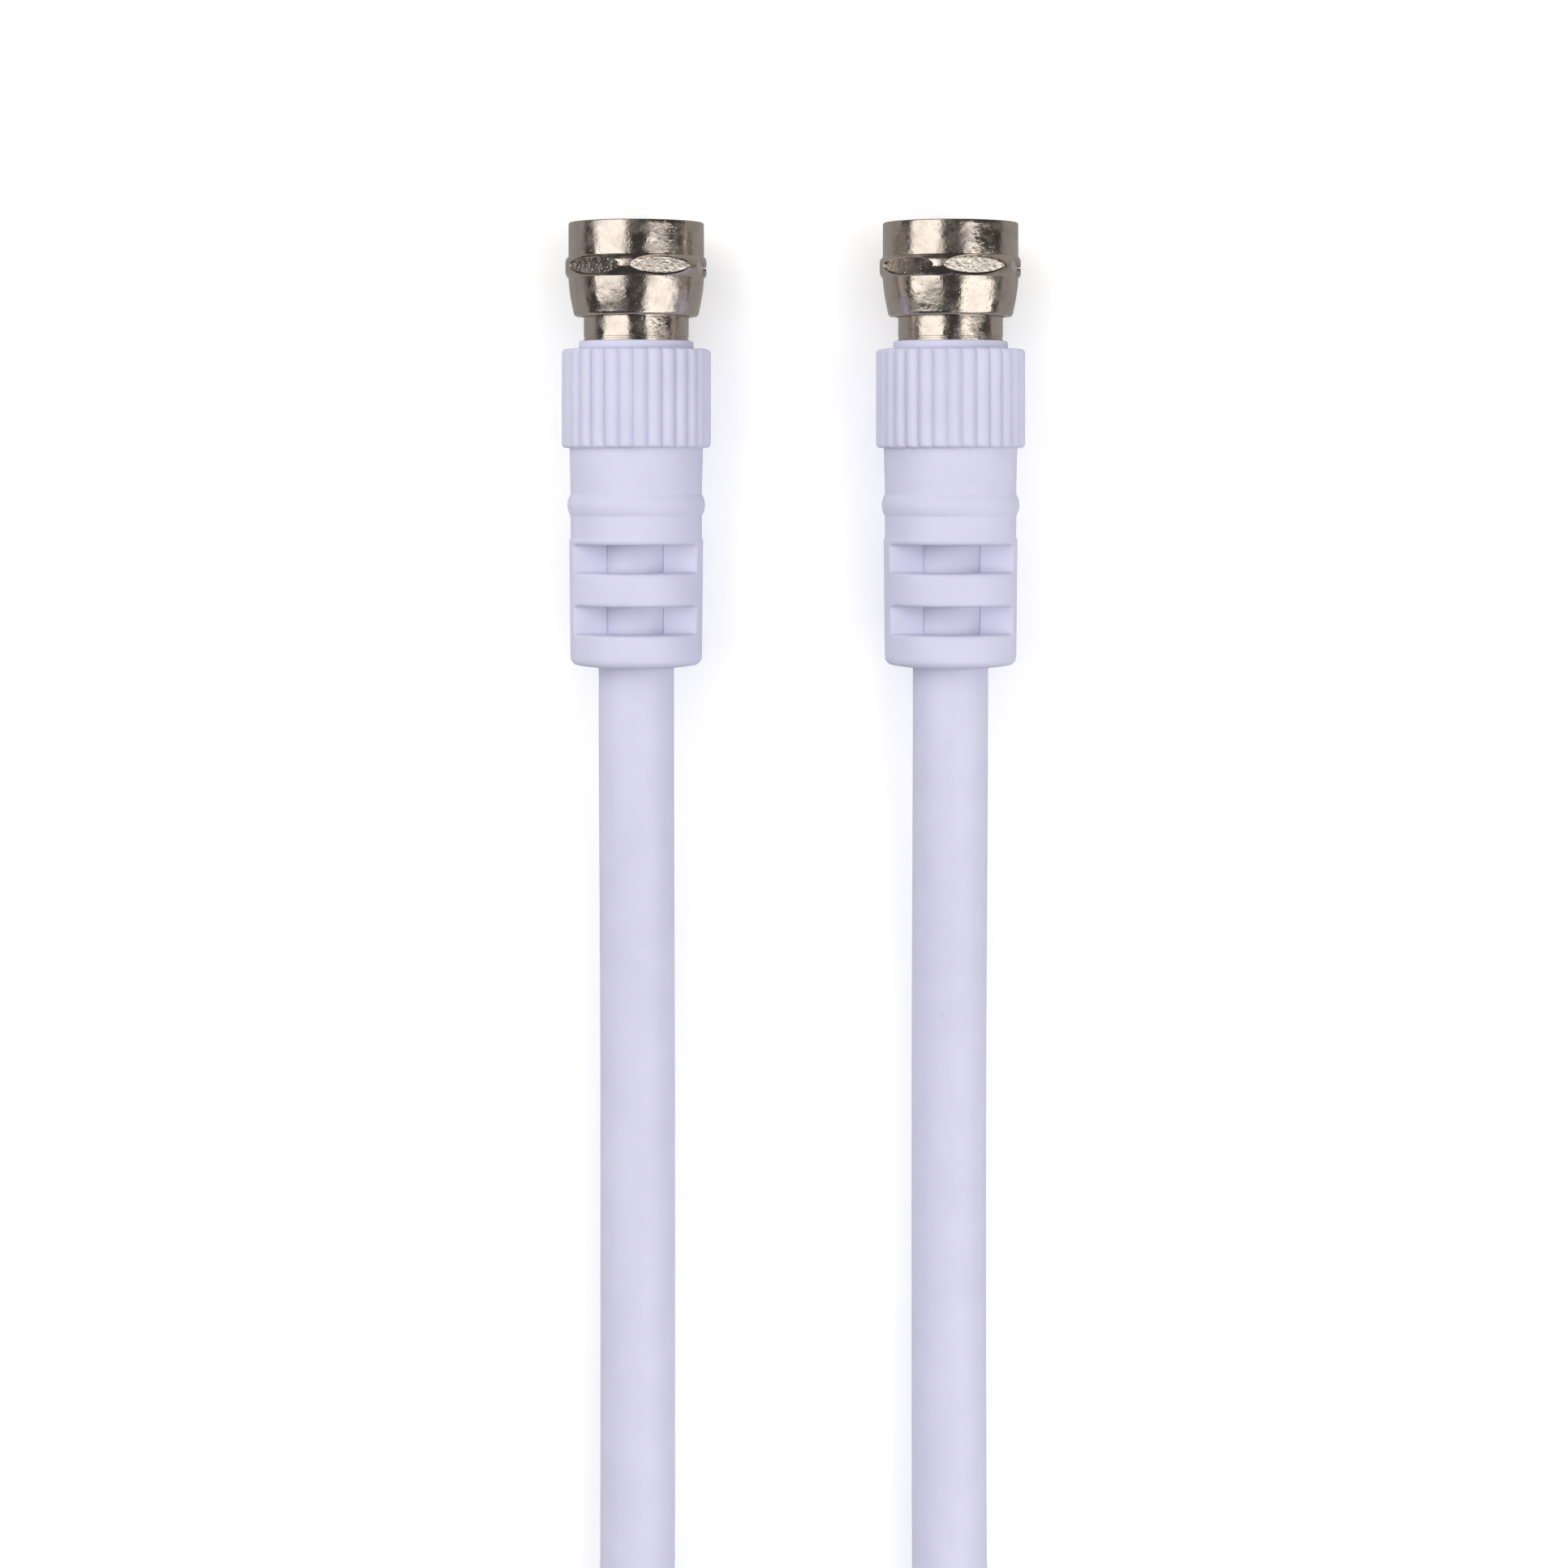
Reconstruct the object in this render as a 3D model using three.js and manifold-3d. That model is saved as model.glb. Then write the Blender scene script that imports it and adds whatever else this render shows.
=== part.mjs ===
// A white coaxial antenna lead: two moulded plugs with screw-on nuts lie side by side,
// and the cable between them is wound into a neat round coil behind them.
// Millimetres, +Z up. The plugs point along +Y, and the origin is on the ground between them.
import * as THREE from 'three';
import { mergeVertices } from 'three/addons/utils/BufferGeometryUtils.js';
import Module from 'manifold-3d';

const wasm = await Module();
wasm.setup();

// Room between neighbours that touch on the real lead
const CLEARANCE = 0.3;

// Cable
const CABLE_DIAMETER = 6.5;
const CABLE_RADIUS = CABLE_DIAMETER / 2;
const CABLE_DEPTH_IN_BOOT = 12.3;

// Boot, from its rear face forwards
const REAR_RING_LENGTH = 2.95;
const WINDOW_LENGTH = 2.4;
const MIDDLE_RING_LENGTH = 2.85;
const LOWER_BARREL_LENGTH = 2.45;
const BEAD_LENGTH = 1.85;
const UPPER_BARREL_LENGTH = 4.0;
const GRIP_LENGTH = 8.5;
const COLLAR_LENGTH = 0.7;
const RELIEF_REAR_RADIUS = 5.66;
const RELIEF_FRONT_RADIUS = 5.76;
const REAR_EDGE_ROUND = 0.7;
const BARREL_RADIUS = 5.66;
const BARREL_FRONT_RADIUS = 5.76;
const BEAD_HEIGHT = 0.27;
const WEB_HALF_HEIGHT = 2.2;
const GRIP_RADIUS = 6.43;
const RIB_COUNT = 30;
const RIB_DEPTH = 0.36;
const RIB_CREST_SHARE = 0.4;
const RIB_PHASE = THREE.MathUtils.degToRad(3);
const GRIP_EDGE_BEVEL = 0.35;
const COLLAR_RADIUS = 4.94;

// Ferrule, the metal post that the boot is moulded on
const NECK_RADIUS = 4.52;
const NECK_SHOWING = 2.1;
const TAIL_RADIUS = 3.25;
const STEM_RADIUS = 3.4;
const FLANGE_THICKNESS = 0.8;
const FERRULE_BORE_RADIUS = 2.5;

// Centre pin, which stays behind the nut's rim
const PIN_RADIUS = 0.5;
const PIN_RECESS = 0.6;
const PIN_TIP_ROUND = 0.35;

// Coupling nut, from its rear face forwards
const NUT_LENGTH = 8.1;
const NUT_REAR_RADIUS = 5.4;
const NUT_REAR_ROUND = 0.35;
const NUT_CONE_LENGTH = 3.3;
const NUT_COLLAR_RADIUS = 5.84;
const NUT_RIM_ROUND = 0.14;
const RIDGE_CENTRE = 4.24;
const RIDGE_HALF_LENGTH = 0.91;
const RIDGE_RADIUS = 6.33;
const ACROSS_FLATS = 11.1;
const FLAT_COUNT = 6;
const FLAT_HALF_HEIGHT = 0.82;
const FIRST_FLAT_ANGLE = THREE.MathUtils.degToRad(22);
const COUNTERBORE_DEPTH = 1.1;
const LIP_LENGTH = 1.3;
const THREAD_BORE_RADIUS = 4.35;
const MOUTH_RADIUS = 4.9;
const MOUTH_BEVEL = 0.55;

// Where the plugs lie, and how far their nuts and ribs are rolled towards each other
const PLUG_SPACING = 27.1;
const PLUG_ROLL = THREE.MathUtils.degToRad(2.5);

// Coil of the cable, a flat-bottomed heap of three, two and one turns
const COIL_MIDDLE_RADIUS = 32.6;
const COIL_CENTRE_Y = -157;
const TURN_PITCH = 6.55;
const GROUND_TURNS = 3;
const HEAP_CORNER = 1.6;
const COIL_SEGMENTS = 48;

// Ties round the coil
const TIE_THICKNESS = 0.6;
const TIE_WIDTH = 4;

// Roundness of the turned pieces
const TURN_SEGMENTS = 36;
const SMALL_TURN_SEGMENTS = 24;
const ROUND_STEPS = 3;
const BULGE_STEPS = 6;
const FLAT_POINTS = 10;
const CABLE_SIDES = 10;
const CABLE_STEP = 13;
const MERGE_DISTANCE = 1e-4;

// Places along a plug, measured from the boot's rear face
const RELIEF_LENGTH = REAR_RING_LENGTH + MIDDLE_RING_LENGTH + 2 * WINDOW_LENGTH;
const REAR_WINDOW_START = REAR_RING_LENGTH;
const FRONT_WINDOW_START = RELIEF_LENGTH - WINDOW_LENGTH;
const BEAD_START = RELIEF_LENGTH + LOWER_BARREL_LENGTH;
const BEAD_END = BEAD_START + BEAD_LENGTH;
const GRIP_START = BEAD_END + UPPER_BARREL_LENGTH;
const GRIP_END = GRIP_START + GRIP_LENGTH;
const BOOT_LENGTH = GRIP_END + COLLAR_LENGTH;
const NUT_START = BOOT_LENGTH + NECK_SHOWING;
const LIP_START = NUT_START + COUNTERBORE_DEPTH;
const LIP_END = LIP_START + LIP_LENGTH;
const FLANGE_START = LIP_END + CLEARANCE;
const FLANGE_END = FLANGE_START + FLANGE_THICKNESS;
const PLUG_LENGTH = NUT_START + NUT_LENGTH;
const FERRULE_START = CABLE_DEPTH_IN_BOOT + CLEARANCE;

// The hexagon's flats: each oval reaches the top of the ridge at both ends
const FLAT_DISTANCE = ACROSS_FLATS / 2;
const FLAT_HALF_WIDTH = Math.sqrt(RIDGE_RADIUS ** 2 - FLAT_DISTANCE ** 2);
const FLAT_CUT_DEPTH = RIDGE_RADIUS - FLAT_DISTANCE + CLEARANCE;

// Places on the ground
const AXIS_HEIGHT = GRIP_RADIUS;
const BOOT_REAR_Y = -PLUG_LENGTH / 2;
const COIL_BASE = TIE_THICKNESS + CLEARANCE;

// The cable's way from each boot to the coil: outwards from the plug's axis, back from the boot, and up
const RUN_A_POINTS = [
  [0, 8, 6.2], [0, 17, 5.3], [0, 26, 4.2], [0, 35, 3.5], [0, 45, 3.3], [0, 60, 3.3], [0, 72, 3.4],
  [0.05, 79, 3.6], [0.8, 86, 3.8], [2.5, 92, 4.0], [4.5, 96.6, 4.1],
];
const RUN_B_POINTS = [
  [0, 8, 6.2], [0, 17, 5.3], [0, 26, 4.2], [0, 35, 3.5], [0, 45, 3.3], [0, 60, 3.4], [0, 72, 3.9],
  [0.05, 79, 4.4], [0.9, 86, 5.0], [2.8, 92, 5.6], [5.0, 96.8, 6.2],
];

// Finishes
const WHITE_PLASTIC = { color: 0xdad9ee, roughness: 0.5, metalness: 0 };
const WHITE_JACKET = { color: 0xd8d8ec, roughness: 0.55, metalness: 0 };
const WHITE_INSULATION = { color: 0xeeeeea, roughness: 0.6, metalness: 0 };
const BRIGHT_NICKEL = { color: 0xcfc6ba, roughness: 0.22, metalness: 1 };
const PLAIN_METAL = { color: 0xc9a878, roughness: 0.3, metalness: 1 };
const TIE_PLASTIC = { color: 0xf0f0f0, roughness: 0.45, metalness: 0 };

// A geometry as a solid that can be joined and cut
function solidOf(geometry) {
  const bare = geometry.index ? geometry.toNonIndexed() : geometry.clone();
  bare.deleteAttribute('normal');
  bare.deleteAttribute('uv');
  const merged = mergeVertices(bare, MERGE_DISTANCE);
  const triangles = [];
  for (let i = 0; i < merged.index.count; i += 3) {
    const [a, b, c] = [merged.index.getX(i), merged.index.getX(i + 1), merged.index.getX(i + 2)];
    if (a !== b && b !== c && c !== a) triangles.push(a, b, c);
  }
  const mesh = new wasm.Mesh({
    numProp: 3,
    vertProperties: new Float32Array(merged.attributes.position.array),
    triVerts: new Uint32Array(triangles),
  });
  return new wasm.Manifold(mesh);
}

// A finished solid as a geometry
function geometryOf(solid) {
  const mesh = solid.getMesh();
  const geometry = new THREE.BufferGeometry();
  geometry.setAttribute('position', new THREE.BufferAttribute(new Float32Array(mesh.vertProperties), 3));
  geometry.setIndex(new THREE.BufferAttribute(new Uint32Array(mesh.triVerts), 1));
  geometry.computeVertexNormals();
  return geometry;
}

// A named sub-part with its finish
function piece(name, solid, finish) {
  const mesh = new THREE.Mesh(geometryOf(solid), new THREE.MeshStandardMaterial(finish));
  mesh.name = name;
  return mesh;
}

// A solid turned about Y from an outline of [radius, place along the axis], which closes on itself
function turned(outline, segments) {
  const points = outline.map(([radius, along]) => new THREE.Vector2(radius, along));
  if (THREE.ShapeUtils.area(points) < 0) points.reverse();
  points.push(points[0].clone());
  return solidOf(new THREE.LatheGeometry(points, segments));
}

// A quarter round between two corners of an outline, bulging towards the corner that it rounds off
function quarterRound(centre, radius, startAngle) {
  const points = [];
  for (let i = 0; i <= ROUND_STEPS; i += 1) {
    const angle = startAngle + (i / ROUND_STEPS) * (Math.PI / 2);
    points.push([centre[0] + radius * Math.cos(angle), centre[1] + radius * Math.sin(angle)]);
  }
  return points;
}

// A swelling between two places along the axis, over a base whose radius changes evenly
function bulge(start, end, baseStart, baseEnd, height) {
  const points = [];
  for (let i = 0; i <= BULGE_STEPS; i += 1) {
    const share = i / BULGE_STEPS;
    const base = THREE.MathUtils.lerp(baseStart, baseEnd, share);
    points.push([base + height * Math.sin(Math.PI * share), THREE.MathUtils.lerp(start, end, share)]);
  }
  return points;
}

// A straight prism along Y with an outline of [x, z]
function prismAlongY(outline, from, to) {
  const shape = new THREE.Shape(outline.map(([x, z]) => new THREE.Vector2(x, -z)));
  const geometry = new THREE.ExtrudeGeometry(shape, { depth: to - from, bevelEnabled: false });
  geometry.rotateX(-Math.PI / 2);
  geometry.translate(0, from, 0);
  return solidOf(geometry);
}

// The grip's ribbed outline: straight flanks between flat crests and sharp valleys
function ribbedOutline(roll) {
  const outline = [];
  const pitch = (2 * Math.PI) / RIB_COUNT;
  const crestHalf = (pitch * RIB_CREST_SHARE) / 2;
  for (let rib = 0; rib < RIB_COUNT; rib += 1) {
    const middle = RIB_PHASE + roll + rib * pitch;
    const corners = [
      [middle - pitch / 2, GRIP_RADIUS - RIB_DEPTH],
      [middle - crestHalf, GRIP_RADIUS],
      [middle + crestHalf, GRIP_RADIUS],
    ];
    for (const [angle, radius] of corners) outline.push([radius * Math.sin(angle), radius * Math.cos(angle)]);
  }
  return outline;
}

// The grip, with both ends of its ribs bevelled
function grip(roll) {
  const overshoot = CLEARANCE;
  const bevelled = turned([
    [0, GRIP_START],
    [GRIP_RADIUS - GRIP_EDGE_BEVEL, GRIP_START],
    [GRIP_RADIUS + overshoot, GRIP_START + GRIP_EDGE_BEVEL + overshoot],
    [GRIP_RADIUS + overshoot, GRIP_END - GRIP_EDGE_BEVEL - overshoot],
    [GRIP_RADIUS - GRIP_EDGE_BEVEL, GRIP_END],
    [0, GRIP_END],
  ], TURN_SEGMENTS);
  return prismAlongY(ribbedOutline(roll), GRIP_START, GRIP_END).intersect(bevelled);
}

// Both cuts of one window, which leave the flat web between them
function windowCuts(start) {
  const height = 2 * BARREL_FRONT_RADIUS;
  const cuts = [1, -1].map((side) => {
    const box = new THREE.BoxGeometry(3 * RELIEF_FRONT_RADIUS, WINDOW_LENGTH, height);
    box.translate(0, start + WINDOW_LENGTH / 2, side * (WEB_HALF_HEIGHT + height / 2));
    return solidOf(box);
  });
  return cuts[0].add(cuts[1]);
}

// The moulded boot: windowed strain relief, barrel with its bead, ribbed grip and collar in one piece
function boot(roll) {
  const body = turned([
    [0, 0],
    ...quarterRound([RELIEF_REAR_RADIUS - REAR_EDGE_ROUND, REAR_EDGE_ROUND], REAR_EDGE_ROUND, -Math.PI / 2),
    [RELIEF_FRONT_RADIUS, RELIEF_LENGTH],
    [BARREL_RADIUS, RELIEF_LENGTH],
    ...bulge(BEAD_START, BEAD_END, BARREL_RADIUS, BARREL_RADIUS, BEAD_HEIGHT),
    [BARREL_FRONT_RADIUS, GRIP_START],
    [BARREL_FRONT_RADIUS, GRIP_END - GRIP_EDGE_BEVEL],
    [COLLAR_RADIUS, GRIP_END - GRIP_EDGE_BEVEL],
    [COLLAR_RADIUS, BOOT_LENGTH],
    [0, BOOT_LENGTH],
  ], TURN_SEGMENTS);
  const bore = turned([
    [0, -CLEARANCE],
    [CABLE_RADIUS + CLEARANCE, -CLEARANCE],
    [CABLE_RADIUS + CLEARANCE, CABLE_DEPTH_IN_BOOT],
    [TAIL_RADIUS + CLEARANCE, FERRULE_START],
    [TAIL_RADIUS + CLEARANCE, BOOT_LENGTH + CLEARANCE],
    [0, BOOT_LENGTH + CLEARANCE],
  ], SMALL_TURN_SEGMENTS);
  return body
    .add(grip(roll))
    .subtract(bore)
    .subtract(windowCuts(REAR_WINDOW_START))
    .subtract(windowCuts(FRONT_WINDOW_START));
}

// The ferrule: its tail is inside the boot, its neck shows, and its flange keeps the nut on
function ferrule() {
  return turned([
    [FERRULE_BORE_RADIUS, FERRULE_START],
    [TAIL_RADIUS, FERRULE_START],
    [TAIL_RADIUS, BOOT_LENGTH],
    [NECK_RADIUS, BOOT_LENGTH],
    [NECK_RADIUS, LIP_START - CLEARANCE],
    [STEM_RADIUS, LIP_START - CLEARANCE],
    [STEM_RADIUS, FLANGE_START],
    [THREAD_BORE_RADIUS - CLEARANCE, FLANGE_START],
    [THREAD_BORE_RADIUS - CLEARANCE, FLANGE_END],
    [FERRULE_BORE_RADIUS, FLANGE_END],
  ], TURN_SEGMENTS);
}

// The white insulation between ferrule and pin
function insulator() {
  return turned([
    [PIN_RADIUS + CLEARANCE, FERRULE_START],
    [FERRULE_BORE_RADIUS - CLEARANCE, FERRULE_START],
    [FERRULE_BORE_RADIUS - CLEARANCE, FLANGE_END],
    [PIN_RADIUS + CLEARANCE, FLANGE_END],
  ], SMALL_TURN_SEGMENTS);
}

// The centre pin with its rounded tip
function pin() {
  const tip = PLUG_LENGTH - PIN_RECESS;
  return turned([
    [0, FERRULE_START],
    [PIN_RADIUS, FERRULE_START],
    [PIN_RADIUS, tip - PIN_TIP_ROUND],
    [PIN_RADIUS - PIN_TIP_ROUND, tip],
    [0, tip],
  ], SMALL_TURN_SEGMENTS);
}

// One flat of the nut's hexagon, cut into the ridge with an oval outline
function flatCut(index, roll) {
  const shape = new THREE.Shape();
  shape.absellipse(0, NUT_START + RIDGE_CENTRE, FLAT_HALF_WIDTH, FLAT_HALF_HEIGHT, 0, 2 * Math.PI);
  const oval = new THREE.ExtrudeGeometry(shape, {
    depth: FLAT_CUT_DEPTH,
    bevelEnabled: false,
    curveSegments: FLAT_POINTS,
  });
  oval.translate(0, 0, FLAT_DISTANCE);
  oval.rotateY(FIRST_FLAT_ANGLE + roll + (index * 2 * Math.PI) / FLAT_COUNT);
  return solidOf(oval);
}

// The loose coupling nut
function nut(roll) {
  const collarRound = [NUT_COLLAR_RADIUS - NUT_RIM_ROUND, PLUG_LENGTH - NUT_RIM_ROUND];
  const rearRound = [NUT_REAR_RADIUS - NUT_REAR_ROUND, NUT_START + NUT_REAR_ROUND];
  const ridge = NUT_START + RIDGE_CENTRE;
  let body = turned([
    [NECK_RADIUS + CLEARANCE, NUT_START],
    ...quarterRound(rearRound, NUT_REAR_ROUND, -Math.PI / 2),
    [NUT_COLLAR_RADIUS, NUT_START + NUT_CONE_LENGTH],
    ...bulge(
      ridge - RIDGE_HALF_LENGTH, ridge + RIDGE_HALF_LENGTH,
      NUT_COLLAR_RADIUS, NUT_COLLAR_RADIUS, RIDGE_RADIUS - NUT_COLLAR_RADIUS,
    ),
    ...quarterRound(collarRound, NUT_RIM_ROUND, 0),
    [MOUTH_RADIUS, PLUG_LENGTH],
    [THREAD_BORE_RADIUS, PLUG_LENGTH - MOUTH_BEVEL],
    [THREAD_BORE_RADIUS, LIP_END],
    [STEM_RADIUS + CLEARANCE, LIP_END],
    [STEM_RADIUS + CLEARANCE, LIP_START],
    [NECK_RADIUS + CLEARANCE, LIP_START],
  ], TURN_SEGMENTS);
  for (let index = 0; index < FLAT_COUNT; index += 1) body = body.subtract(flatCut(index, roll));
  return body;
}

// The heap's outline of [distance from its middle, height above its base], grown by a margin all round
function heapOutline(margin) {
  const layerRise = Math.sqrt(CABLE_DIAMETER ** 2 - (TURN_PITCH / 2) ** 2);
  const height = CABLE_DIAMETER + (GROUND_TURNS - 1) * layerRise;
  const foot = ((GROUND_TURNS - 1) / 2) * TURN_PITCH + CABLE_RADIUS;
  const half = [
    [foot + margin - HEAP_CORNER, -margin],
    [foot + margin, HEAP_CORNER - margin],
    [foot + margin, CABLE_DIAMETER - HEAP_CORNER],
    [CABLE_RADIUS + margin, height + margin - HEAP_CORNER],
    [CABLE_RADIUS + margin - HEAP_CORNER, height + margin],
  ];
  const mirrored = half.map(([across, up]) => [-across, up]).reverse();
  return [...half, ...mirrored];
}

// The coil, one turned solid with its bore
function coil() {
  const outline = heapOutline(0).map(([across, up]) => [COIL_MIDDLE_RADIUS + across, COIL_BASE + up]);
  const geometry = new THREE.LatheGeometry(
    [...outline, outline[0]].map(([radius, up]) => new THREE.Vector2(radius, up)),
    COIL_SEGMENTS,
  );
  geometry.rotateX(Math.PI / 2);
  geometry.translate(0, COIL_CENTRE_Y, 0);
  return solidOf(geometry);
}

// A tie round the heap on the side of the coil that the sign gives: 1 nearest the plugs, -1 furthest
function tie(side) {
  const corners = (margin) => heapOutline(margin).map(([across, up]) => new THREE.Vector2(across, up));
  const shape = new THREE.Shape(corners(CLEARANCE + TIE_THICKNESS));
  shape.holes.push(new THREE.Path(corners(CLEARANCE)));
  const band = new THREE.ExtrudeGeometry(shape, { depth: TIE_WIDTH, bevelEnabled: false });
  band.translate(0, 0, -TIE_WIDTH / 2);
  band.rotateX(Math.PI / 2);
  band.rotateZ(Math.PI / 2);
  band.translate(0, COIL_CENTRE_Y + side * COIL_MIDDLE_RADIUS, COIL_BASE);
  return solidOf(band);
}

// One lead between a boot and the coil, on the side that the sign gives
function cableRun(side, points) {
  const axisX = (side * PLUG_SPACING) / 2;
  const route = [
    new THREE.Vector3(axisX, BOOT_REAR_Y + CABLE_DEPTH_IN_BOOT, AXIS_HEIGHT),
    new THREE.Vector3(axisX, BOOT_REAR_Y, AXIS_HEIGHT),
    ...points.map(([out, back, up]) => new THREE.Vector3(axisX + side * out, BOOT_REAR_Y - back, up)),
  ];
  const path = new THREE.CatmullRomCurve3(route, false, 'centripetal');
  const section = new THREE.Shape();
  for (let i = 0; i < CABLE_SIDES; i += 1) {
    const angle = (i * 2 * Math.PI) / CABLE_SIDES;
    const corner = [CABLE_RADIUS * Math.cos(angle), CABLE_RADIUS * Math.sin(angle)];
    if (i === 0) section.moveTo(...corner);
    else section.lineTo(...corner);
  }
  section.closePath();
  const steps = Math.round(path.getLength() / CABLE_STEP);
  return solidOf(new THREE.ExtrudeGeometry(section, { steps, extrudePath: path, bevelEnabled: false }));
}

// All pieces of one plug, on its axis
function plug(side, letter) {
  const group = new THREE.Group();
  const roll = -side * PLUG_ROLL;
  group.add(
    piece(`boot_${letter}`, boot(roll), WHITE_PLASTIC),
    piece(`ferrule_${letter}`, ferrule(), BRIGHT_NICKEL),
    piece(`insulator_${letter}`, insulator(), WHITE_INSULATION),
    piece(`centre_pin_${letter}`, pin(), PLAIN_METAL),
    piece(`nut_${letter}`, nut(roll), BRIGHT_NICKEL),
  );
  group.position.set((side * PLUG_SPACING) / 2, BOOT_REAR_Y, AXIS_HEIGHT);
  return group;
}

const lead = new THREE.Group();
lead.add(
  plug(-1, 'a'),
  plug(1, 'b'),
  piece('cable_run_a', cableRun(-1, RUN_A_POINTS), WHITE_JACKET),
  piece('cable_run_b', cableRun(1, RUN_B_POINTS), WHITE_JACKET),
  piece('cable_coil', coil(), WHITE_JACKET),
  piece('coil_tie_near', tie(1), TIE_PLASTIC),
  piece('coil_tie_far', tie(-1), TIE_PLASTIC),
);

export default lead;
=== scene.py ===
# %% [markdown]
# # A white aerial lead with two screw-on plugs
# The real thing is a coaxial lead: a stiff round cable with the same plug on both ends. Each plug is a white
# moulded boot, a nickel-plated post that the boot is moulded on, and a loose coupling nut that turns on the post.
# A CAD model already holds the plain solids in their right places. This lesson gives each of them the surface that
# the real one has, and it starts by loading that model, because every piece has to lie where its solid lies.

# %% Load the solids
import math

import bmesh
import bpy
import numpy as np
from mathutils import Matrix, Vector


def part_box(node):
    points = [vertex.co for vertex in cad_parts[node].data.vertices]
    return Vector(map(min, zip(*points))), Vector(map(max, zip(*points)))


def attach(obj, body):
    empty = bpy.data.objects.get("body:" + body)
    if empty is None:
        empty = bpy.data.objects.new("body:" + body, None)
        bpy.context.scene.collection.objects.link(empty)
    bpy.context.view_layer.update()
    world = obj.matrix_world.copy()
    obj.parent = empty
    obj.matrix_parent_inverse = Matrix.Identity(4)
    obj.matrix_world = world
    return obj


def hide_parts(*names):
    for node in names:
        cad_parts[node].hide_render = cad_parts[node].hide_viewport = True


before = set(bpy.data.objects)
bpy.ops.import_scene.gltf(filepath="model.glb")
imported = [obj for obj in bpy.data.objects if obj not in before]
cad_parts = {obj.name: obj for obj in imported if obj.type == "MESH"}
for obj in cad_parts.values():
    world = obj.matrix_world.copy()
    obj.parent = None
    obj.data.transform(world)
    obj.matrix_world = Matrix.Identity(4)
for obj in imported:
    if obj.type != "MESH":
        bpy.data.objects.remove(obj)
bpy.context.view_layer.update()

# %% [markdown]
# ## Where each plug lies
# A plug is a turned object, so three numbers place it: the axis in x, the rear face in y and the axis height in z.
# They are read from the solids' boxes and not typed in, so they stay right when the model changes. Each plug is
# rolled a little towards the camera, which stands midway above the two, so that both show it the same side.

# %% Plug places
MM = 0.001
PLUGS = ("a", "b")
ROLL = {"a": math.radians(2.5), "b": math.radians(-2.5)}
SIDE = {"a": -1, "b": 1}


def plug_place(letter):
    """The middle of a plug's rear face."""
    low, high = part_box("centre_pin_" + letter)
    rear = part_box("boot_" + letter)[0].y
    return Vector(((low.x + high.x) / 2, rear, (low.z + high.z) / 2))


PLACE = {letter: plug_place(letter) for letter in PLUGS}
for letter in PLUGS:
    print("plug", letter, "stands at", [round(value / MM, 2) for value in PLACE[letter]], "mm")

# %% [markdown]
# ## The camera
# The photograph looks straight down on the plugs. It is the upper part of a wider view: its lines of sight meet the
# ground squarely at a row well above the middle of the picture. A shifted camera does the same without tilting:
# it looks straight down at that row, and the shift moves the picture over what it sees.

# %% Camera
PICTURE = 1932
PIXEL = 0.07 * MM
SQUARE_ROW = 560
CAMERA_ABOVE_AXES = 0.308
SENSOR = 36.0
CAMERA_OVER = (-0.81 * MM, -0.82 * MM)

camera = bpy.data.objects.new("camera", bpy.data.cameras.new("camera"))
bpy.context.scene.collection.objects.link(camera)
camera.location = (*CAMERA_OVER, PLACE["a"].z + CAMERA_ABOVE_AXES)
camera.data.sensor_width = SENSOR
camera.data.lens = SENSOR * CAMERA_ABOVE_AXES / (PICTURE * PIXEL)
camera.data.shift_y = (SQUARE_ROW - PICTURE / 2) / PICTURE
camera.data.clip_start = 0.01
bpy.context.scene.camera = camera
print("lens", round(camera.data.lens, 1), "mm, shift", round(camera.data.shift_y, 4))

# %% [markdown]
# ## The floor and the studio lights
# The white plastic needs soft light, and the nickel needs something to reflect. Two long softboxes stand left and
# right above the plugs with a dark gap between them, so every turned metal surface shows two bright bands with dark
# bands beside them. The left one reaches further forwards and the right one further back. A third, wide light
# from above only fills: it isn't seen in reflections. Nor is the floor, because a white floor would wash out the
# metal's edges. They reflect the grey lower half of the world instead, as they would on a small table. The floor
# glows a little, as a lit table does, so that shadows stay light. A pale round wall closes the view from the side.
# Only the camera sees it, so it changes neither the light nor the reflections.

# %% Floor and lights
FLOOR_SIZE, FLOOR_LEVEL, FLOOR_GLOW = 4, -0.02 * MM, 0.15
WALL_RADIUS, WALL_BRIGHTNESS = 1.15, 0.80
# Where the world's grey ends, as the height of a direction, and how bright it is below and above that
HORIZON_LOW, HORIZON_HIGH, GREY_BELOW, DARK_ABOVE = -0.16, -0.02, 0.40, 0.06


def soft_material(name):
    """A new material and its shader."""
    material = bpy.data.materials.new(name)
    material.use_nodes = True
    return material, material.node_tree.nodes["Principled BSDF"]


floor_finish, shader = soft_material("pale_floor")
shader.inputs["Base Color"].default_value = (0.95, 0.95, 0.955, 1)
shader.inputs["Roughness"].default_value = 0.9
shader.inputs["Specular IOR Level"].default_value = 0.1
shader.inputs["Emission Color"].default_value = (1.0, 1.0, 1.0, 1)
shader.inputs["Emission Strength"].default_value = FLOOR_GLOW

bpy.ops.mesh.primitive_plane_add(size=FLOOR_SIZE, location=(0, 0, FLOOR_LEVEL))
floor = bpy.context.object
floor.name = "floor"
floor.data.materials.append(floor_finish)
floor.visible_glossy = False

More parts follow.
